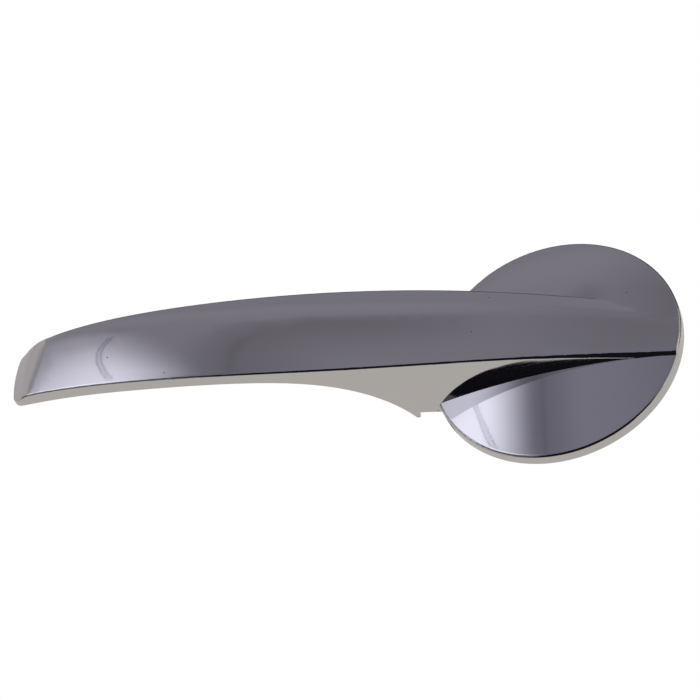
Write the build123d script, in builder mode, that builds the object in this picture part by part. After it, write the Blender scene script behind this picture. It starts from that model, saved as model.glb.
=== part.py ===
"""Interior door handle: one zinc die casting, a lever blade that grows out of a domed round boss.

Frame, in millimetres: the origin is on the spindle axis, in the boss's back plane. The lever points to -X,
+Z is up on the door, and the front faces -Y. Depth is measured forwards from the back plane.
"""
import os
from math import cos, radians, sin, tan

from build123d import *

os.makedirs("parts", exist_ok=True)

# Boss: a round dome on a low rim
disc_diameter = 54.0
rim_height = 2.5
rim_rounding = 0.8
dome_rise = 2.8

# Lever: the line of its front edge, its leaning lower wall, its width and its blade
lever_reach = 110.7
lever_standoff = 31.9
edge_depth_at_rim = 3.7
edge_below_axis = 5.4
edge_fall_at_rim = 3.0
edge_fall_start = 45.0
wall_lean_at_rim = 24.0
wall_lean_at_heel = 10.5
wall_lean_at_tip = 4.5
lever_width = 22.3
width_at_rim = 13.3
width_at_tip = 14.0
blade_thickness = 2.9
blade_back_lean = 8.0
top_wall_lean = 6.0

# Front of the lever: a slightly crowned face, then a flank that falls away to the top edge, less so at the tip
face_share = 0.62
face_share_at_tip = 0.78
face_tilt = 0.5
shoulder_tilt = 5.5
flank_tilt = 24.0
flank_tilt_at_tip = 14.0
lower_edge_radius = 0.8
edge_radius_at_tip = 0.45
rim_edge_radius = 2.3
edge_growth_start = 10.0
top_edge_radius = 1.0
edge_end_rounding = 1.0

# Tip: the roll that brings the face down to the end, the end's plan and its rounded corners
tip_roll_length = 7.2
tip_drop = 2.15
tip_skew = 4.5
tip_end_radius = 27.0
tip_centre_above_axis = 0.2
tip_low_corner = 2.4
tip_top_corner = 2.8
tip_corner_runout = 0.05
tip_draft = 5.5

# Heel: where the lever's back comes down to the door beside the boss
heel_gap = 3.5
heel_foot = 0.7
heel_relief = 1.4
heel_runout = 0.45

# Cored back: a shallow recess inside the boss's seating ring, and a channel up into the lever's root
casting_wall = 2.6
recess_depth = 1.2
core_runout = 0.4
core_draft = 1.5

# Hub and its fixing to the door's square spindle
hub_diameter = 18.0
hub_length = 8.0
hub_chamfer = 0.8
spindle_square = 8.0
socket_depth = 13.0
socket_corner = 0.8
pin_diameter = 3.2
pin_from_end = 4.0

# Front edge line and width of the lever, as shares from the boss's right rim to the tip
EDGE_LINE = [
    # run, rise, widening towards the full width
    (-0.05, -0.040, -0.13),
    (0.10, 0.083, 0.25),
    (0.27, 0.258, 0.69),
    (0.46, 0.458, 1.00),
    (0.65, 0.705, 0.94),
]
BLADE_LINE = [
    # run, rise, narrowing towards the tip's width
    (0.80, 0.890, 0.35),
    (0.88, 0.963, 0.57),
]
TIP_LINE = [
    # share of the roll's length, share of its drop, narrowing towards the tip's width, share of its skew
    (0.00, 0.025, 0.845, 0.00),
    (0.24, 0.000, 0.895, 0.25),
    (0.43, 0.010, 0.945, 0.62),
    (0.60, 0.155, 0.990, 0.95),
    (0.76, 0.487, 1.035, 1.00),
    (1.00, 1.000, 1.100, 1.00),
    (1.17, 1.360, 1.150, 1.00),
]
# The heel's sweep, as shares from its foot to the blade
HEEL_SWEEP = [(0.169, 0.322), (0.409, 0.614)]

# Derived sizes
disc_radius = disc_diameter / 2
ring_radius = disc_radius - casting_wall
hub_radius = hub_diameter / 2
dome_radius = (disc_radius**2 + dome_rise**2) / (2 * dome_rise)
run = disc_radius + lever_reach
rise = lever_standoff - edge_depth_at_rim
heel_inner = -(disc_radius + heel_gap)
heel_outer = heel_inner - heel_foot
tip_centre = (tip_end_radius - lever_reach, tip_centre_above_axis)
depth_range = 2 * lever_standoff
back_slope = tan(radians(blade_back_lean))


def section_plane(x):
    """Plane across the lever: its own x is up, its own y is depth in front of the back plane."""
    return Plane(origin=(x, 0, 0), x_dir=(0, 0, 1), z_dir=(1, 0, 0))


def side_plane(z):
    """Plane along the lever seen from above: its own x is X, its own y is depth; it extrudes downwards."""
    return Plane(origin=(0, 0, z), x_dir=(1, 0, 0), z_dir=(0, 0, -1))


def falling(tilt):
    """Direction, in a section, of a surface that falls away upwards by this tilt."""
    return (cos(radians(tilt)), -sin(radians(tilt)))


def edge_height(x):
    """Height of the front edge: level along the blade, then falling towards the boss's right rim."""
    share = max(0.0, (x + edge_fall_start) / (disc_radius + edge_fall_start))
    return -edge_below_axis - edge_fall_at_rim * share**2


def wall_slope(x):
    """Slope of the lower wall from square to the door: most at the boss's right rim, least at the tip."""
    if x > heel_inner:
        share = (x - heel_inner) / (disc_radius - heel_inner)
        return tan(radians(wall_lean_at_heel + share * (wall_lean_at_rim - wall_lean_at_heel)))
    share = (heel_inner - x) / (heel_inner + lever_reach)
    return tan(radians(wall_lean_at_heel + share * (wall_lean_at_tip - wall_lean_at_heel)))


def narrowed(narrowing):
    """Width of the blade where it has gone this share of the way to the tip's width."""
    return lever_width + narrowing * (width_at_tip - lever_width)


def lever_stations():
    """Loft sections from the boss to the blade: place along X, depth of the front edge, width, added tilt."""
    stations = []
    for run_share, rise_share, widening in EDGE_LINE:
        width = width_at_rim + widening * (lever_width - width_at_rim)
        stations.append((disc_radius - run_share * run, edge_depth_at_rim + rise_share * rise, width, 0))
    for run_share, rise_share, narrowing in BLADE_LINE:
        width = narrowed(narrowing)
        stations.append((disc_radius - run_share * run, edge_depth_at_rim + rise_share * rise, width, 0))
    return stations


def tip_stations():
    """Loft sections of the rolled tip, in the same terms: the front rounds over to a slope down to the end."""
    stations = []
    for roll_share, drop_share, narrowing, skew_share in TIP_LINE:
        x = (1 - roll_share) * tip_roll_length - lever_reach
        depth = lever_standoff - drop_share * tip_drop
        stations.append((x, depth, narrowed(narrowing), skew_share * tip_skew))
    return stations


def lever_section(x, depth, width, added_tilt):
    """Closed section of the lever blank: leaning lower wall, crowned face, curved flank, leaning top wall."""
    low = edge_height(x)
    out = max(0.0, (heel_inner - x) / (heel_inner + lever_reach))
    start_tilt = face_tilt + added_tilt
    end_tilt = shoulder_tilt + added_tilt
    top_tilt = flank_tilt + out**2 * (flank_tilt_at_tip - flank_tilt) + added_tilt
    face_width = (face_share + out**2 * (face_share_at_tip - face_share)) * width
    flank_width = width - face_width
    shoulder = (low + face_width, depth - face_width * tan(radians((start_tilt + end_tilt) / 2)))
    top = (low + width, shoulder[1] - flank_width * tan(radians((end_tilt + top_tilt) / 2)))
    top_foot = (top[0] + (top[1] + rim_height) * tan(radians(top_wall_lean)), -rim_height)
    low_foot = (low - (depth + rim_height) * wall_slope(x), -rim_height)
    growth = min(1.0, max(0.0, (x + edge_growth_start) / (disc_radius + edge_growth_start)))
    edge_radius = lower_edge_radius + growth * (rim_edge_radius - lower_edge_radius)
    edge_radius += out * (edge_radius_at_tip - lower_edge_radius)
    with BuildSketch(section_plane(x)) as section:
        with BuildLine():
            Polyline(top, top_foot, low_foot, (low, depth))
            TangentArc([(low, depth), shoulder], tangent=falling(start_tilt))
            TangentArc([shoulder, top], tangent=falling(end_tilt))
        make_face()
        fillet(section.vertices().sort_by_distance((low, depth))[0], edge_radius)
        fillet(section.vertices().sort_by_distance(top)[0], top_edge_radius)
    return section.sketch


def core_section(x, depth, width):
    """Section of the channel in the lever's root, inside its walls and behind its face, with draft."""
    ceiling = depth - blade_thickness - core_runout
    low = edge_height(x) - (depth - ceiling) * wall_slope(x) + casting_wall
    high = edge_height(x) + width - casting_wall
    high_ceiling = ceiling - (high - low) * back_slope
    with BuildSketch(section_plane(x)) as section:
        Polygon(
            (low - (ceiling + rim_height) * wall_slope(x), -rim_height),
            (low, ceiling),
            (high, high_ceiling),
            (high + (high_ceiling + rim_height) * tan(radians(core_draft)), -rim_height),
            align=None,
        )
    return section.sketch


lever = lever_stations()
tip = tip_stations()
root_stations = lever[2:5]
blade_stations = [*lever[4:], tip[0]]
near_x, _, near_width, _ = tip[0]
far_x, _, far_width, _ = tip[-1]

# Plan of the tip at the front of the blade: its end arc between the two walls, a little outside them
plan_low = -edge_below_axis - tip_corner_runout
plan_base = -edge_below_axis + tip_corner_runout
with BuildSketch() as tip_plan:
    with Locations(tip_centre):
        Circle(tip_end_radius)
    with BuildSketch(mode=Mode.INTERSECT):
        Polygon(
            (far_x, plan_low),
            (near_x + tip_end_radius, plan_low),
            (near_x + tip_end_radius, plan_base + lever_width),
            (near_x, plan_base + near_width),
            (far_x, plan_base + far_width),
            align=None,
        )
    low_end, top_end = tip_plan.edges().sort_by(Axis.X)[0].vertices().sort_by(Axis.Y)
    fillet(low_end, tip_low_corner)
    fillet(tip_plan.vertices().sort_by_distance(top_end)[0], tip_top_corner)

# Lever blank: lofted sections to the tip's roll and on through it, ended flush with the boss's rim at the right
with BuildPart() as blank:
    loft([lever_section(*station) for station in [*lever, tip[0]]])
    loft([lever_section(*station) for station in tip])
    with BuildSketch(Plane.XZ.offset(-rim_height)):
        with Locations((disc_radius, 0)):
            Rectangle(disc_diameter, 2 * disc_diameter)
        Circle(disc_radius, mode=Mode.SUBTRACT)
    extrude(amount=depth_range, mode=Mode.SUBTRACT)
    edge_end = blank.faces().sort_by(Axis.X)[-1]
    fillet(edge_end.edges().sort_by(Axis.Y)[:-1], edge_end_rounding)

# What lies outside the tip's plan, which widens towards the back as the walls do
with BuildPart() as tip_cutter:
    with BuildSketch(Plane.XZ.offset(-rim_height)):
        with Locations((near_x, 0)):
            Rectangle(2 * tip_end_radius, 4 * tip_end_radius, align=(Align.MAX, Align.CENTER))
    extrude(amount=depth_range)
    with BuildSketch(Plane.XZ.offset(lever_standoff)):
        add(tip_plan.sketch)
    extrude(amount=lever_standoff, mode=Mode.SUBTRACT)
    with BuildSketch(Plane.XZ.offset(lever_standoff)):
        add(tip_plan.sketch)
    extrude(amount=-(lever_standoff + rim_height), taper=-tip_draft, mode=Mode.SUBTRACT)

# What lies behind the blade and its heel; the blade's back leans as its face falls
blade_back = [(far_x, lever_standoff - blade_thickness)]
blade_back += [(x, depth - blade_thickness) for x, depth, _, _ in reversed(blade_stations)]
root_x, root_depth = blade_back[-1]
heel_curve = [
    (heel_outer + run_share * (root_x - heel_outer), rise_share * root_depth)
    for run_share, rise_share in reversed(HEEL_SWEEP)
]
with BuildPart() as blade_cutter:
    with BuildSketch(side_plane(-edge_below_axis)):
        with BuildLine():
            back_line = Spline(*blade_back, *heel_curve, (heel_outer, -heel_runout))
            Polyline(
                back_line @ 1,
                (heel_outer, -disc_diameter),
                (far_x, -disc_diameter),
                back_line @ 0,
            )
        make_face()
    extrude(amount=disc_diameter, dir=(0, back_slope, 1), both=True)

# What lies behind the boss's back plane, and the relief that leaves the heel only a narrow foot
with BuildPart() as plane_cutter:
    with BuildSketch(side_plane(disc_diameter)):
        Polygon(
            (heel_inner, 0),
            (heel_inner, heel_relief),
            (-ring_radius, 0),
            (disc_diameter, 0),
            (disc_diameter, -disc_diameter),
            (heel_outer - disc_diameter, -disc_diameter),
            (heel_outer - disc_diameter, 0),
            align=None,
        )
    extrude(amount=2 * disc_diameter)

# Boss: the domed disc, turned about the spindle axis
with BuildPart() as boss:
    with BuildSketch(side_plane(0)):
        with BuildLine():
            rim = Polyline((0, rim_height + dome_rise), (0, 0), (disc_radius, 0), (disc_radius, rim_height))
            RadiusArc(rim @ 1, rim @ 0, -dome_radius)
        make_face()
        fillet(vertices().sort_by_distance((disc_radius, rim_height))[0], rim_rounding)
    revolve(axis=Axis.Y)

# Hollow of the lever's root: a drafted channel, divided by a rib under the boss's rim and clear of the hub
with BuildPart() as core:
    loft([core_section(x, depth, width) for x, depth, width, _ in root_stations])
    with BuildSketch(Plane.XZ.offset(-rim_height)):
        Circle(disc_radius)
        Circle(ring_radius, mode=Mode.SUBTRACT)
        Circle(hub_radius)
    extrude(amount=depth_range, mode=Mode.SUBTRACT)

# Door handle: the shaped lever on its boss, cored from behind, with the hub that takes the spindle
with BuildPart() as handle:
    add(blank.part)
    add(tip_cutter.part, mode=Mode.SUBTRACT)
    add(blade_cutter.part, mode=Mode.SUBTRACT)
    add(plane_cutter.part, mode=Mode.SUBTRACT)
    add(boss.part)
    # Only the seating ring and the heel touch the door
    with BuildSketch(Plane.XZ):
        Circle(ring_radius)
    extrude(amount=recess_depth, mode=Mode.SUBTRACT)
    add(core.part, mode=Mode.SUBTRACT)
    # Hub from the recess's floor to its chamfered end
    with BuildSketch(Plane.XZ.offset(-hub_length)):
        Circle(hub_radius)
    extrude(amount=hub_length + recess_depth)
    chamfer(handle.edges().group_by(Axis.Y)[-1], hub_chamfer)
    # Blind square socket and the cross hole for the spindle's pin
    with BuildSketch(Plane.XZ.offset(-hub_length)):
        RectangleRounded(spindle_square, spindle_square, socket_corner)
    extrude(amount=socket_depth, mode=Mode.SUBTRACT)
    with BuildSketch(Plane.XY.offset(-hub_radius)):
        with Locations((0, hub_length - pin_from_end)):
            Circle(pin_diameter / 2)
    extrude(amount=hub_diameter, mode=Mode.SUBTRACT)

handle.part.label = "door_handle"
export_step(handle.part, "parts/door_handle.step")
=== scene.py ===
"""Interior door handle in bright chrome: its finish, the studio round it and the photograph's camera.

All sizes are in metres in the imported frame: the spindle axis is Y, the front faces -Y and +Z is up on
the door.
"""
import logging
from dataclasses import dataclass
from enum import Enum
from math import radians

import bmesh
import bpy
from mathutils import Matrix, Quaternion, Vector


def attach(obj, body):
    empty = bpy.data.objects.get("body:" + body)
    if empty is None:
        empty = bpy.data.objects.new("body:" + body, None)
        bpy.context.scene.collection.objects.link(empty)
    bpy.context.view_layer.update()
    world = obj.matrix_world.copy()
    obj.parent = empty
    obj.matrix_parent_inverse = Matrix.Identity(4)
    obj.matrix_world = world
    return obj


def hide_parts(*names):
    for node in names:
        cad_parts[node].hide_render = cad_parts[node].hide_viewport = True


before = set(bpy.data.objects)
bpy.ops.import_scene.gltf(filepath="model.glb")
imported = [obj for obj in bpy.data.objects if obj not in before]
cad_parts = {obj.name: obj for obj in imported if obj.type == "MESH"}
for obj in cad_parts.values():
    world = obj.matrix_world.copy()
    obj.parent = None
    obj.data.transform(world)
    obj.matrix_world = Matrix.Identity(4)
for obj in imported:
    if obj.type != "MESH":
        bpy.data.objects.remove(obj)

Node = bpy.types.Node
Socket = bpy.types.NodeSocket
Material = bpy.types.Material
Piece = bpy.types.Object
Shape = bmesh.types.BMesh
Place = tuple[float, float, float]
Colour = tuple[float, float, float]
Span = tuple[float, float]
Point = tuple[float, float]

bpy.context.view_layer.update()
LOG = logging.getLogger("door_handle")


class Seen(Enum):
    """Which rays see a stage piece."""

    BY_ALL = "all rays"
    IN_METAL = "reflections only"


class ColourMix:
    """Places of a Mix node's sockets when it mixes colours."""

    SHARE = 0
    FIRST = 6
    SECOND = 7
    RESULT = 2


class NodeBench:
    """Small helper that adds nodes to one material or world and wires them."""

    def __init__(self, tree: bpy.types.NodeTree) -> None:
        """Keeps the tree and clears it.

        Args:
            tree: the node tree to fill.
        """
        self.tree = tree
        tree.nodes.clear()

    def add(self, kind: str, inputs: dict[str | int, object] | None = None, **settings: object) -> Node:
        """Adds one node, sets its options and fills or links its inputs.

        Args:
            kind: the node's Blender type name.
            inputs: socket name or index to a constant or to the output socket that feeds it.
            settings: node options by name.

        Returns:
            The new node.
        """
        node = self.tree.nodes.new(kind)
        for name, value in settings.items():
            setattr(node, name, value)
        for name, value in (inputs or {}).items():
            if isinstance(value, Socket):
                self.tree.links.new(value, node.inputs[name])
            else:
                node.inputs[name].default_value = value
        return node

    def math(self, operation: str, *values: Socket | float) -> Socket:
        """Adds a math node on one to three values.

        Args:
            operation: the math node's operation.
            values: constants or output sockets, in order.

        Returns:
            The result's socket.
        """
        inputs = dict(enumerate(values))
        return self.add("ShaderNodeMath", inputs, operation=operation).outputs[0]

    def ramp(self, value: Socket, low: float, high: float, start: float, end: float) -> Socket:
        """Maps a value smoothly from one range to another.

        Args:
            value: the socket that is mapped.
            low: the value that gives start.
            high: the value that gives end.
            start: the result at low and before.
            end: the result at high and beyond.

        Returns:
            The result's socket.
        """
        inputs = {"Value": value, "From Min": low, "From Max": high, "To Min": start, "To Max": end}
        node = self.add("ShaderNodeMapRange", inputs, interpolation_type="SMOOTHSTEP")
        return node.outputs["Result"]

    def blend(self, share: Socket, first: Colour, second: Colour) -> Socket:
        """Blends two colours.

        Args:
            share: how much of the second colour there is.
            first: the colour where the share is 0.
            second: the colour where the share is 1.

        Returns:
            The colour's socket.
        """
        inputs = {ColourMix.SHARE: share, ColourMix.FIRST: (*first, 1), ColourMix.SECOND: (*second, 1)}
        return self.add("ShaderNodeMix", inputs, data_type="RGBA").outputs[ColourMix.RESULT]

    def glow(self, colour: Socket | Colour, strength: Socket | float) -> Socket:
        """Adds an even glow.

        Args:
            colour: its colour.
            strength: its strength.

        Returns:
            The shader's socket.
        """
        paint = colour if isinstance(colour, Socket) else (*colour, 1)
        return self.add("ShaderNodeEmission", {"Color": paint, "Strength": strength}).outputs["Emission"]

    def place(self) -> Socket:
        """Gives the object coordinates that every pattern reads."""
        return self.add("ShaderNodeTexCoord").outputs["Object"]

    def surface(self, shader: Socket) -> None:
        """Sends a shader to the material's output."""
        self.add("ShaderNodeOutputMaterial", {"Surface": shader})


def new_material(name: str) -> tuple[Material, NodeBench]:
    """Starts a material.

    Args:
        name: the material's name.

    Returns:
        The material and the bench for its empty node tree.
    """
    material = bpy.data.materials.new(name)
    material.use_nodes = True
    return material, NodeBench(material.node_tree)


@dataclass(frozen=True)
class ChromePlate:
    """Polished chrome on a cast body: faint polishing lines, a slightly wavy gloss and a few pits."""

    reflectance: Colour = (0.549, 0.556, 0.554)
    gloss: Span = (0.03, 0.075)
    gloss_range: Span = (0.15, 0.42)
    haze_spread: float = 0.018
    haze_detail: float = 4.0
    polish_run: float = 0.03
    polish_pitch: float = 0.0005
    polish_detail: float = 2.0
    wave_spread: float = 0.011
    wave_detail: float = 1.0
    wave_height: float = 0.0000035
    pit_spacing: float = 0.007
    pit_radius: float = 0.00011
    pit_share: float = 0.05
    seen_pits: tuple[Place, ...] = (
        (-0.0895, -0.0298, 0.0016), (-0.0775, -0.0275, -0.0038), (-0.0153, -0.0117, 0.0018),
        (-0.0117, -0.0096, 0.0113), (0.0164, -0.0039, 0.0092), (-0.0264, -0.0008, -0.0083),
    )
    seen_pit_radius: float = 0.00016
    pit_core: float = 0.6
    pit_tint: Colour = (0.05, 0.045, 0.04)
    pit_dulling: float = 0.5
    pit_sinking: float = 0.6
    edge_break: float = 0.00018
    edge_samples: int = 6

    def material(self) -> Material:
        """Makes the chrome.

        Returns:
            The material.
        """
        material, bench = new_material("bright_chrome")
        place = bench.place()
        pits = self._pits(bench, place)
        shader = bench.add(
            "ShaderNodeBsdfPrincipled",
            {
                "Base Color": bench.blend(pits, self.reflectance, self.pit_tint),
                "Metallic": 1.0,
                "Roughness": self._roughness(bench, place, pits),
                "Normal": self._surface(bench, place, pits),
            },
        )
        bench.surface(shader.outputs["BSDF"])
        return material

    def _pits(self, bench: NodeBench, place: Socket) -> Socket:
        """Places the pits that the photograph shows and scatters a few more in cells of a random lattice.

        Args:
            bench: the material's nodes.
            place: object coordinates.

        Returns:
            A mask that is 1 in a pit.
        """
        cells = bench.add("ShaderNodeTexVoronoi", {"Vector": place, "Scale": 1 / self.pit_spacing}).outputs
        reach = self.pit_radius / self.pit_spacing
        near = bench.ramp(cells["Distance"], self.pit_core * reach, reach, 1.0, 0.0)
        chance = bench.add("ShaderNodeSeparateColor", {"Color": cells["Color"]}).outputs["Red"]
        mask = bench.math("MULTIPLY", near, bench.math("LESS_THAN", chance, self.pit_share))
        reach = self.seen_pit_radius
        for centre in self.seen_pits:
            gap = bench.add("ShaderNodeVectorMath", {0: place, 1: centre}, operation="DISTANCE")
            pit = bench.ramp(gap.outputs["Value"], self.pit_core * reach, reach, 1.0, 0.0)
            mask = bench.math("MAXIMUM", mask, pit)
        return mask

    def _roughness(self, bench: NodeBench, place: Socket, pits: Socket) -> Socket:
        """Mixes haze and polishing lines into the gloss.

        Args:
            bench: the material's nodes.
            place: object coordinates.
            pits: the pit mask.

        Returns:
            The roughness socket.
        """
        haze = bench.add(
            "ShaderNodeTexNoise", {"Vector": place, "Scale": 1 / self.haze_spread, "Detail": self.haze_detail}
        )
        scale = (1 / self.polish_run, 1 / self.polish_pitch, 1 / self.polish_pitch)
        drawn = bench.add("ShaderNodeMapping", {"Vector": place, "Scale": scale}).outputs["Vector"]
        lines = bench.add("ShaderNodeTexNoise", {"Vector": drawn, "Scale": 1.0, "Detail": self.polish_detail})
        both = bench.math("MULTIPLY", haze.outputs["Fac"], lines.outputs["Fac"])
        gloss = bench.ramp(both, *self.gloss_range, *self.gloss)
        return bench.math("ADD", gloss, bench.math("MULTIPLY", pits, self.pit_dulling))

    def _surface(self, bench: NodeBench, place: Socket, pits: Socket) -> Socket:
        """Breaks the sharp edges, gives the plate its faint waves and the pits their depth.

        Args:
            bench: the material's nodes.
            place: object coordinates.
            pits: the pit mask.

        Returns:
            The normal socket.
        """
        waves = bench.add(
            "ShaderNodeTexNoise", {"Vector": place, "Scale": 1 / self.wave_spread, "Detail": self.wave_detail}
        ).outputs["Fac"]
        broken = bench.add("ShaderNodeBevel", {"Radius": self.edge_break}, samples=self.edge_samples)
        swell = {"Distance": self.wave_height, "Height": waves, "Normal": broken.outputs[0]}
        wavy = bench.add("ShaderNodeBump", {"Strength": 1.0, **swell})
        holes = {"Distance": self.pit_radius, "Height": pits, "Normal": wavy.outputs[0]}
        pitted = bench.add("ShaderNodeBump", {"Strength": self.pit_sinking, **holes}, invert=True)
        return pitted.outputs[0]


@dataclass(frozen=True)
class CardGlow:
    """Plain studio card that the chrome mirrors at an even tone."""

    name: str
    colour: Colour

    def material(self) -> Material:
        """Makes the card's even glow.

        Returns:
            The material.
        """
        material, bench = new_material(self.name)
        bench.surface(bench.glow(self.colour, 1.0))
        return material


@dataclass(frozen=True)
class FrontScreen:
    """Cloth screen in front of the handle: a softbox glows through its left half beside a soft bent shade.

    Each span gives the two places, along X or Z, between which a tone changes.
    """

    name: str = "front_screen_cloth"
    cloth: Colour = (1.02, 0.95, 1.13)
    low_cloth: Colour = (1.00, 0.955, 1.22)
    low_end: Span = (0.08, 0.12)
    cloth_tone: float = 0.300
    upper_lift: float = 0.028
    upper_start: Span = (0.165, 0.25)
    right_drop: float = 0.075
    right_start: Span = (-0.02, 0.08)
    fill: Colour = (0.60, 0.55, 0.565)
    fill_start: Span = (-0.26, -0.16)
    glow: Colour = (1.30, 1.27, 1.47)
    glow_right: Span = (-0.097, -0.048)
    glow_lean: float = 0.6
    lean_start: float = 0.10
    glow_left: Span = (-0.200, -0.176)
    glow_slope: Span = (-0.160, -0.105)
    glow_left_share: float = 0.62
    glow_top: Span = (0.060, 0.150)
    top_share: float = 0.64
    tail_top: Span = (0.100, 0.260)
    tail_share: float = 0.26
    shade_corner: Point = (-0.0135, 0.108)
    shade_radius: float = 0.03
    shade_squeeze: float = 0.6
    shade_inside: float = 0.035
    shade_outside: float = 0.026
    shade_depth: float = 0.27
    shade_right_depth: float = 0.04
    shade_right: Span = (-0.018, 0.012)
    line_width: float = 0.0035
    line_depth: float = 0.09
    line_right: Span = (-0.042, -0.034)
    cover_top: Span = (0.26, 0.34)
    cover_right: Span = (0.20, 0.30)
    cover_left: Span = (-0.24, -0.16)

    def material(self) -> Material:
        """Makes the screen's glow, which turns clear beyond its edges.

        Returns:
            The material.
        """
        material, bench = new_material(self.name)
        axes = bench.add("ShaderNodeSeparateXYZ", {"Vector": bench.place()}).outputs
        across, up = axes["X"], axes["Z"]
        tint = bench.blend(bench.ramp(up, *self.low_end, 0.0, 1.0), self.low_cloth, self.cloth)
        fill = bench.ramp(across, *self.fill_start, 1.0, 0.0)
        tone = bench.math("MULTIPLY", self._tone(bench, across, up), bench.math("SUBTRACT", 1.0, fill))
        shade = self._shade(bench, across, up)
        tone = bench.math("MULTIPLY", tone, bench.math("SUBTRACT", 1.0, shade))
        cloth = bench.glow(tint, tone)
        lights = (bench.glow(self.glow, self._glow(bench, across, up)), bench.glow(self.fill, fill))
        for light in lights:
            cloth = bench.add("ShaderNodeAddShader", {0: cloth, 1: light}).outputs[0]
        clear = bench.add("ShaderNodeBsdfTransparent").outputs[0]
        cover = self._cover(bench, across, up)
        bench.surface(bench.add("ShaderNodeMixShader", {0: cover, 1: clear, 2: cloth}).outputs[0])
        return material

    def _tone(self, bench: NodeBench, across: Socket, up: Socket) -> Socket:
        """Finds how brightly the cloth glows: lighter at the top and darker at the right.

        Args:
            bench: the material's nodes.
            across: the place along X.
            up: the place along Z.

        Returns:
            The tone's socket.
        """
        lift = bench.ramp(up, *self.upper_start, 0.0, self.upper_lift)
        drop = bench.ramp(across, *self.right_start, 0.0, -self.right_drop)
        return bench.math("ADD", self.cloth_tone, bench.math("ADD", lift, drop))

    def _shade(self, bench: NodeBench, across: Socket, up: Socket) -> Socket:
        """Finds the soft shade, which bends round a corner, and the fine line in its bend.

        Args:
            bench: the material's nodes.
            across: the place along X.
            up: the place along Z.

        Returns:
            The socket of the share of the tone that the shade takes away.
        """
        beside = bench.math("MAXIMUM", bench.math("SUBTRACT", self.shade_corner[0], across), 0.0)
        above = bench.math("MAXIMUM", bench.math("SUBTRACT", up, self.shade_corner[1]), 0.0)
        above = bench.math("MULTIPLY", above, self.shade_squeeze)
        square = bench.math("MULTIPLY_ADD", beside, beside, bench.math("MULTIPLY", above, above))
        off = bench.math("SUBTRACT", bench.math("SQRT", square), self.shade_radius)
        inside = bench.ramp(off, -self.shade_inside, 0.0, 0.0, 1.0)
        outside = bench.ramp(off, 0.0, self.shade_outside, 1.0, 0.0)
        depth = bench.ramp(across, *self.shade_right, self.shade_depth, self.shade_right_depth)
        shade = bench.math("MULTIPLY", bench.math("MULTIPLY", inside, outside), depth)
        line = bench.ramp(bench.math("ABSOLUTE", off), 0.0, self.line_width, self.line_depth, 0.0)
        return bench.math("MULTIPLY_ADD", line, bench.ramp(across, *self.line_right, 1.0, 0.0), shade)

    def _glow(self, bench: NodeBench, across: Socket, up: Socket) -> Socket:
        """Finds the softbox's share: fullest low and at its right, with a long faint tail upwards.

        Args:
            bench: the material's nodes.
            across: the place along X.
            up: the place along Z.

        Returns:
            The share's socket.
        """
        rise = bench.math("MAXIMUM", bench.math("SUBTRACT", up, self.lean_start), 0.0)
        leaning = bench.math("MULTIPLY_ADD", rise, self.glow_lean, across)
        right = bench.ramp(leaning, *self.glow_right, 1.0, 0.0)
        left = bench.ramp(across, *self.glow_left, 0.0, 1.0)
        slope = bench.ramp(across, *self.glow_slope, self.glow_left_share, 1.0)
        top = bench.ramp(up, *self.glow_top, self.top_share, 0.0)
        tail = bench.ramp(up, *self.tail_top, self.tail_share, 0.0)
        width = bench.math("MULTIPLY", bench.math("MULTIPLY", right, left), slope)
        return bench.math("MULTIPLY", width, bench.math("ADD", top, tail))

    def _cover(self, bench: NodeBench, across: Socket, up: Socket) -> Socket:
        """Finds how far the cloth covers what hangs behind it: it thins out upwards and to the right.

        Args:
            bench: the material's nodes.
            across: the place along X.
            up: the place along Z.

        Returns:
            The cover's socket.
        """
        top = bench.ramp(up, *self.cover_top, 1.0, 0.0)
        left = bench.ramp(across, *self.cover_left, 1.0, 0.0)
        right = bench.ramp(across, *self.cover_right, 1.0, 0.0)
        return bench.math("MULTIPLY", bench.math("MAXIMUM", top, left), right)


@dataclass(frozen=True)
class SheerRod:
    """Thin rod of the softbox frame, which only dims the cloth behind it."""

    name: str
    dimming: Colour

    def material(self) -> Material:
        """Makes the rod's dimming.

        Returns:
            The material.
        """
        material, bench = new_material(self.name)
        bench.surface(bench.add("ShaderNodeBsdfTransparent", {"Color": (*self.dimming, 1)}).outputs[0])
        return material


@dataclass(frozen=True)
class FloorPaper:
    """Matt pale paper of the floor, with a faint mottle."""

    pale: Colour = (0.86, 0.86, 0.86)
    shade: Colour = (0.82, 0.82, 0.82)
    mottle_spread: float = 0.2

    def material(self) -> Material:
        """Makes the floor's paper.

        Returns:
            The material.
        """
        material, bench = new_material("floor_paper")
        mottle = bench.add("ShaderNodeTexNoise", {"Vector": bench.place(), "Scale": 1 / self.mottle_spread})
        tone = bench.add("ShaderNodeValToRGB", {"Fac": mottle.outputs["Fac"]})
        for stop, colour in zip(tone.color_ramp.elements, (self.shade, self.pale)):
            stop.color = (*colour, 1)
        bench.surface(bench.add("ShaderNodeBsdfDiffuse", {"Color": tone.outputs["Color"]}).outputs["BSDF"])
        return material


def hang_sheet(
    name: str, line: list[Place], run: Place, material: Material, seen: Seen = Seen.IN_METAL
) -> Piece:
    """Hangs a stage sheet: a line of points swept along one direction.

    Args:
        name: the sheet's name.
        line: the points of its edge, in order.
        run: how far and which way the edge is swept.
        material: its finish.
        seen: which rays see it.

    Returns:
        The sheet's object.
    """
    sheet = bmesh.new()
    points = [sheet.verts.new(point) for point in line]
    edges = [sheet.edges.new(pair) for pair in zip(points, points[1:])]
    swept = bmesh.ops.extrude_edge_only(sheet, edges=edges)["geom"]
    far = [item for item in swept if isinstance(item, bmesh.types.BMVert)]
    bmesh.ops.translate(sheet, verts=far, vec=Vector(run))
    return put_on_stage(name, sheet, material, seen)


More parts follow.
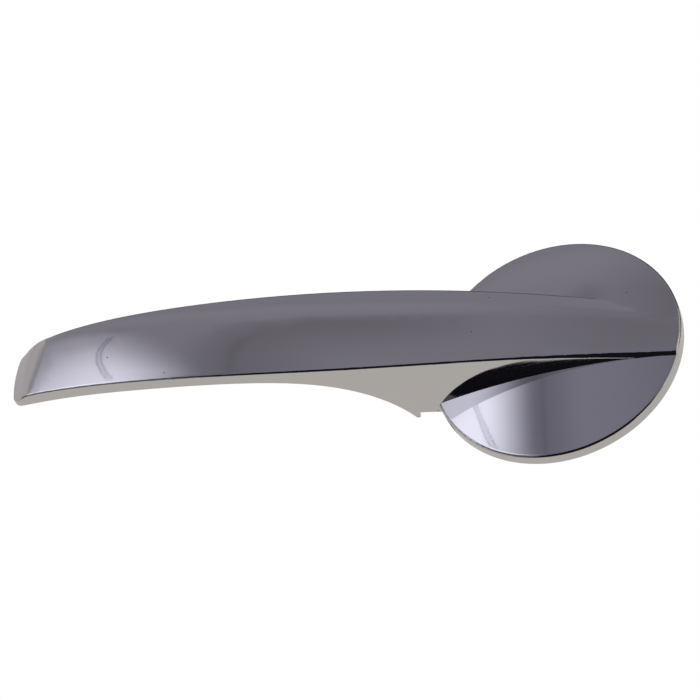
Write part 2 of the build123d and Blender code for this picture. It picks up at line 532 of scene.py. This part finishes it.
def put_on_stage(name: str, shape: Shape, material: Material, seen: Seen) -> Piece:
    """Turns a finished bmesh into a stage object.

    Args:
        name: the object's name.
        shape: its mesh, which is used up.
        material: its finish.
        seen: which rays see it.

    Returns:
        The stage object.
    """
    mesh = bpy.data.meshes.new(name)
    shape.to_mesh(mesh)
    shape.free()
    mesh.materials.append(material)
    piece = bpy.data.objects.new(name, mesh)
    bpy.context.scene.collection.objects.link(piece)
    if seen is Seen.IN_METAL:
        piece.visible_camera = False
        piece.visible_diffuse = False
        piece.visible_shadow = False
        piece.visible_transmission = False
    return piece


@dataclass
class CastHandle:
    """The one-piece casting, polished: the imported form, shaded along its true curves and dressed in chrome.

    An edge sharper than crease stays sharp. Faces that meet at less than bend form one surface, and a
    surface is broad from broad_area on. Two broad surfaces blend at a seam only if they meet there at less
    than split.
    """

    node: str = "door_handle"
    slot: str = "chrome_plate"
    chrome: ChromePlate = ChromePlate()
    weld: float = 0.000001
    crease: float = radians(34)
    bend: float = radians(4)
    split: float = radians(10)
    broad_area: float = 0.00003

    def build(self) -> Piece:
        """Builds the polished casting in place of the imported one.

        Returns:
            The casting's object.
        """
        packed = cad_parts[self.node]
        shape = bmesh.new()
        shape.from_mesh(packed.data)
        shape.transform(packed.matrix_world)
        bmesh.ops.remove_doubles(shape, verts=shape.verts, dist=self.weld)
        shape.verts.index_update()
        shape.faces.index_update()
        for face in shape.faces:
            face.smooth = True
        for edge in shape.edges:
            edge.smooth = edge.calc_face_angle(0.0) < self.crease
        normals = self._normals(shape)
        mesh = bpy.data.meshes.new("polished_casting")
        shape.to_mesh(mesh)
        shape.free()
        mesh.normals_split_custom_set(normals)
        mesh.materials.append(self.chrome.material())
        casting = bpy.data.objects.new("polished_casting", mesh)
        bpy.context.scene.collection.objects.link(casting)
        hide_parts(self.node)
        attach(casting, "root")
        return casting

    def _normals(self, shape: Shape) -> list[Vector]:
        """Finds the shading direction of every corner: at a seam the broad surface leads, not its fillet.

        Args:
            shape: the welded casting.

        Returns:
            One direction per corner, face by face.
        """
        groups = self._broad_groups(shape)
        found = {}
        for vert in shape.verts:
            for fan in self._fans(vert):
                leads = self._leads(fan, groups)
                for corner in fan:
                    own = leads.get(groups.get(corner.face.index)) or self._nearest(leads, corner.face.normal)
                    mates = (lead for lead in leads.values() if lead.angle(own) < self.split)
                    found[corner.face.index, vert.index] = sum(mates, Vector()).normalized()
        return [found[face.index, vert.index] for face in shape.faces for vert in face.verts]

    def _leads(self, fan: list[bmesh.types.BMLoop], groups: dict[int, int]) -> dict[int, Vector]:
        """Finds the directions that lead in a fan: one per broad surface, or else its faces' mean.

        Args:
            fan: the corners of the fan.
            groups: the broad surface of each face in one, by the face's index.

        Returns:
            The leading directions by surface, with -1 for the mean.
        """
        leads: dict[int, Vector] = {}
        for corner in fan:
            group = groups.get(corner.face.index)
            if group is not None:
                leads[group] = leads.get(group, Vector()) + self._pull(corner)
        return leads or {-1: sum((corner.face.normal * corner.calc_angle() for corner in fan), Vector())}

    @staticmethod
    def _nearest(leads: dict[int, Vector], normal: Vector) -> Vector:
        """Picks the leading direction that lies nearest to a face's own."""
        return min(leads.values(), key=lambda lead: lead.angle(normal))

    def _broad_groups(self, shape: Shape) -> dict[int, int]:
        """Numbers the broad surfaces: large groups of faces in which no edge bends much.

        Args:
            shape: the welded casting.

        Returns:
            The group's number of each face in one, by the face's index.
        """
        groups: dict[int, int] = {}
        waiting = set(shape.faces)
        while waiting:
            group = [waiting.pop()]
            for face in group:
                for edge in face.edges:
                    near = [other for other in edge.link_faces if other in waiting]
                    if near and edge.calc_face_angle(0.0) < self.bend:
                        waiting.difference_update(near)
                        group.extend(near)
            if sum(face.calc_area() for face in group) > self.broad_area:
                groups.update((face.index, group[0].index) for face in group)
        return groups

    @staticmethod
    def _fans(vert: bmesh.types.BMVert) -> list[list[bmesh.types.BMLoop]]:
        """Splits the corners round a point into fans that no sharp edge crosses.

        Args:
            vert: the point.

        Returns:
            The fans.
        """
        waiting = {corner.face: corner for corner in vert.link_loops}
        fans = []
        while waiting:
            fan = [waiting.popitem()[1]]
            for corner in fan:
                for edge in (corner.edge, corner.link_loop_prev.edge):
                    if edge.smooth:
                        fan.extend(waiting.pop(face) for face in edge.link_faces if face in waiting)
            fans.append(fan)
        return fans

    @staticmethod
    def _pull(corner: bmesh.types.BMLoop) -> Vector:
        """Weighs a corner's direction so that the sum is exact for points on a sphere.

        Args:
            corner: the face corner.

        Returns:
            Its weighted direction.
        """
        ahead = corner.link_loop_next.vert.co - corner.vert.co
        behind = corner.link_loop_prev.vert.co - corner.vert.co
        return ahead.cross(behind) / (ahead.length_squared * behind.length_squared)


@dataclass
class Studio:
    """Floor, sky, cards and lamp round the handle. Depths in front of the door plane are towards -Y.

    The flags' points give Y and Z, and the rods' points X and Z.
    """

    soft_light: float = 0.7
    floor_level: float = -1.15
    floor_half: float = 6.0
    paper_colour: Colour = (0.71, 0.66, 0.63)
    paper_behind: float = 0.35
    paper_half: float = 1.0
    paper_top: float = 0.30
    paper_front: float = 0.03
    side_front: float = -0.155
    grey_colour: Colour = (0.305, 0.285, 0.340)
    dark_colour: Colour = (0.10, 0.09, 0.11)
    black_colour: Colour = (0.010, 0.009, 0.013)
    flag_depth: float = 0.6
    flag_half: float = 1.6
    flag_shoulder: float = 0.75
    flag_bend: Point = (-0.45, 1.0)
    flag_ridge: Point = (-0.16, 1.1)
    flag_back_top: float = 1.0
    dark_left: float = -0.5
    horizon: float = -0.22
    black_foot: float = -0.6
    # place and size of the painted shadow card behind the handle
    spot_place: Place = (-0.165, 0.34, 0.28)
    spot_radius: float = 0.12
    spot_segments: int = 48
    tip_card_colour: Colour = (0.17, 0.155, 0.185)
    tip_card_level: float = -0.12
    tip_card_across: Span = (-0.30, -0.068)
    tip_card_along: Span = (-0.22, -0.03)
    screen: FrontScreen = FrontScreen()
    screen_depth: float = 0.155
    screen_low: float = -0.06
    screen_top: float = 0.8
    screen_right: float = 0.30
    rod_edge: SheerRod = SheerRod("softbox_rod_edge", (0.60, 0.60, 0.63))
    rod_middle: SheerRod = SheerRod("softbox_rod_middle", (0.84, 0.84, 0.86))
    rod_depth: float = 0.1545
    rod_width: float = 0.0012
    rod_gap: float = 0.0018
    upper_rod: tuple[Point, ...] = (
        (-0.1020, 0.149), (-0.1048, 0.134), (-0.1048, 0.122), (-0.1030, 0.111), (-0.0990, 0.101),
        (-0.0945, 0.094),
    )
    lower_rod: tuple[Point, ...] = (
        (-0.1030, 0.080), (-0.0992, 0.070), (-0.0958, 0.060), (-0.0922, 0.051), (-0.0890, 0.044),
        (-0.0858, 0.038), (-0.0820, 0.031), (-0.0770, 0.020),
    )
    lamp_place: Place = (-0.3, -0.4, 1.6)
    lamp_size: float = 1.5
    lamp_power: float = 12.0

    def build(self) -> list[Piece]:
        """Sets up the whole studio.

        Returns:
            The studio's objects.
        """
        self._sky()
        pieces = [self._floor(), *self._papers(), *self._flags(), self._painted_shadow_spot(), self._tip_card()]
        return [*pieces, self._front_screen(), *self._rods(), self._lamp()]

    def _sky(self) -> None:
        """Makes the white background, which camera, metal and glass all see."""
        world = bpy.data.worlds.new("white_studio")
        bpy.context.scene.world = world
        world.use_nodes = True
        bench = NodeBench(world.node_tree)
        rays = bench.add("ShaderNodeLightPath").outputs
        direct = bench.math("MAXIMUM", rays["Is Camera Ray"], rays["Is Glossy Ray"])
        direct = bench.math("MAXIMUM", direct, rays["Is Transmission Ray"])
        white, soft = (
            bench.add("ShaderNodeBackground", {"Color": (1, 1, 1, 1), "Strength": strength}).outputs[0]
            for strength in (1.0, self.soft_light)
        )
        both = bench.add("ShaderNodeMixShader", {0: direct, 1: soft, 2: white}).outputs[0]
        bench.add("ShaderNodeOutputWorld", {"Surface": both})

    def _floor(self) -> Piece:
        """Lays the pale floor well below the handle.

        Returns:
            The floor.
        """
        half = self.floor_half
        line = [(-half, -half, self.floor_level), (-half, half, self.floor_level)]
        return hang_sheet("floor", line, (2 * half, 0, 0), FloorPaper().material(), Seen.BY_ALL)

    def _papers(self) -> list[Piece]:
        """Hangs the pale papers behind, below and beside the handle, which its walls, rim and tip mirror.

        Returns:
            The papers.
        """
        half, back = self.paper_half, self.paper_behind
        pale = CardGlow("pale_paper", self.paper_colour).material()
        lilac = CardGlow("lilac_paper", self.screen.fill).material()
        line = [(-half, self.paper_front, -half), (-half, back, -half), (-half, back, self.paper_top)]
        papers = [hang_sheet("paper_sweep", line, (2 * half, 0, 0), pale)]
        for name, side, material in (("right_paper", half, pale), ("left_paper", -half, lilac)):
            line = [(side, back, -half), (side, back, half)]
            papers.append(hang_sheet(name, line, (0, self.side_front - back, 0), material))
        return papers

    def _flags(self) -> list[Piece]:
        """Hangs the grey flag above, the dark and lilac ones behind it and the black one round the camera.

        Returns:
            The flags.
        """
        far, half, back = -self.flag_depth, self.flag_half, self.paper_behind
        above = [(far, self.horizon), (far, self.flag_shoulder), self.flag_bend, self.flag_ridge]
        behind = [self.flag_ridge, (back, self.flag_back_top), (back, self.paper_top)]
        below = [(far, self.horizon), (far, self.black_foot), (self.paper_front, -self.paper_half)]
        hung = (
            ("grey_flag", self.grey_colour, above, -half, half),
            ("dark_flag", self.dark_colour, behind, self.dark_left, half),
            ("lilac_flag", self.screen.fill, behind, -half, self.dark_left),
            ("black_flag", self.black_colour, below, -half, half),
        )
        flags = []
        for name, colour, bends, left, right in hung:
            cloth = CardGlow(f"{name}_cloth", colour).material()
            flags.append(hang_sheet(name, [(left, *bend) for bend in bends], (right - left, 0, 0), cloth))
        return flags

    def _painted_shadow_spot(self) -> Piece:
        """Hangs the small dark card behind the handle that its grazing edges mirror: painted shade, which
        stands in for the shadow behind the handle.

        Returns:
            The card.
        """
        spot = bmesh.new()
        bmesh.ops.create_circle(spot, cap_ends=True, segments=self.spot_segments, radius=self.spot_radius)
        bmesh.ops.rotate(spot, verts=spot.verts, matrix=Matrix.Rotation(radians(90), 3, "X"))
        bmesh.ops.translate(spot, verts=spot.verts, vec=Vector(self.spot_place))
        # painted shade: a dark card, seen only in the chrome, in place of the shadow behind the handle
        dark = CardGlow("painted_shadow_card", self.dark_colour).material()
        return put_on_stage("painted_shadow_spot", spot, dark, Seen.IN_METAL)

    def _tip_card(self) -> Piece:
        """Lays the small grey card below the blade's outer half, which its ridge mirrors.

        Returns:
            The card.
        """
        left, right = self.tip_card_across
        line = [(left, front, self.tip_card_level) for front in self.tip_card_along]
        grey = CardGlow("tip_card", self.tip_card_colour).material()
        return hang_sheet("tip_card", line, (right - left, 0, 0), grey)

    def _front_screen(self) -> Piece:
        """Hangs the cloth screen with its softbox in front of the handle.

        Returns:
            The screen.
        """
        left, front = -self.paper_half, -self.screen_depth
        line = [(left, front, self.screen_low), (left, front, self.screen_top)]
        return hang_sheet("front_screen", line, (self.screen_right - left, 0, 0), self.screen.material())

    def _rods(self) -> list[Piece]:
        """Hangs the two bent softbox rods, each darker along both its edges.

        Returns:
            The rods' strips.
        """
        edge, middle = self.rod_edge.material(), self.rod_middle.material()
        inner = self.rod_gap / 2
        strips = (
            (-inner - self.rod_width, self.rod_width, edge),
            (-inner, self.rod_gap, middle),
            (inner, self.rod_width, edge),
        )
        rods = []
        for name, bends in (("upper_rod", self.upper_rod), ("lower_rod", self.lower_rod)):
            for start, width, sheer in strips:
                line = [(across + start, -self.rod_depth, up) for across, up in bends]
                rods.append(hang_sheet(name, line, (width, 0, 0), sheer))
        return rods

    def _lamp(self) -> Piece:
        """Hangs one large soft lamp over the floor.

        Returns:
            The lamp.
        """
        light = bpy.data.lights.new("overhead_softbox", "AREA")
        light.shape = "SQUARE"
        light.size = self.lamp_size
        light.energy = self.lamp_power
        lamp = bpy.data.objects.new("overhead_softbox", light)
        lamp.location = self.lamp_place
        lamp.visible_glossy = False
        bpy.context.scene.collection.objects.link(lamp)
        return lamp


@dataclass(frozen=True)
class PhotoCamera:
    """The photograph's camera, below the handle's front and a little to its right."""

    eye: Place = (0.136754, -0.547491, -0.416475)
    aim: Place = (-0.040559, -0.016, 0.000533)
    lens: float = 172.3046
    sensor: float = 36.0
    roll: float = radians(-1.1096)
    nearest: float = 0.01

    def build(self) -> Piece:
        """Places the camera and makes it the scene's own.

        Returns:
            The camera's object.
        """
        data = bpy.data.cameras.new("photo_camera")
        data.lens = self.lens
        data.sensor_width = self.sensor
        data.clip_start = self.nearest
        camera = bpy.data.objects.new("photo_camera", data)
        look = Vector(self.aim) - Vector(self.eye)
        turn = look.to_track_quat("-Z", "Y") @ Quaternion((0, 0, 1), self.roll)
        camera.location = self.eye
        camera.rotation_euler = turn.to_euler()
        bpy.context.scene.collection.objects.link(camera)
        bpy.context.scene.camera = camera
        return camera


def write_sizes() -> None:
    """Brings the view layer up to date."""
    bpy.context.view_layer.update()


def main() -> None:
    """Builds the handle's looks, the studio and the camera, and reports each piece."""
    logging.basicConfig(level=logging.INFO, format="%(name)s: %(message)s")
    bpy.context.scene.view_settings.view_transform = "Standard"
    casting = CastHandle().build()
    LOG.info("polished casting %s", casting.name)
    for piece in Studio().build():
        LOG.info("studio piece %s", piece.name)
    camera = PhotoCamera().build()
    LOG.info("camera %s", camera.name)
    write_sizes()


if __name__ == "__main__":
    main()
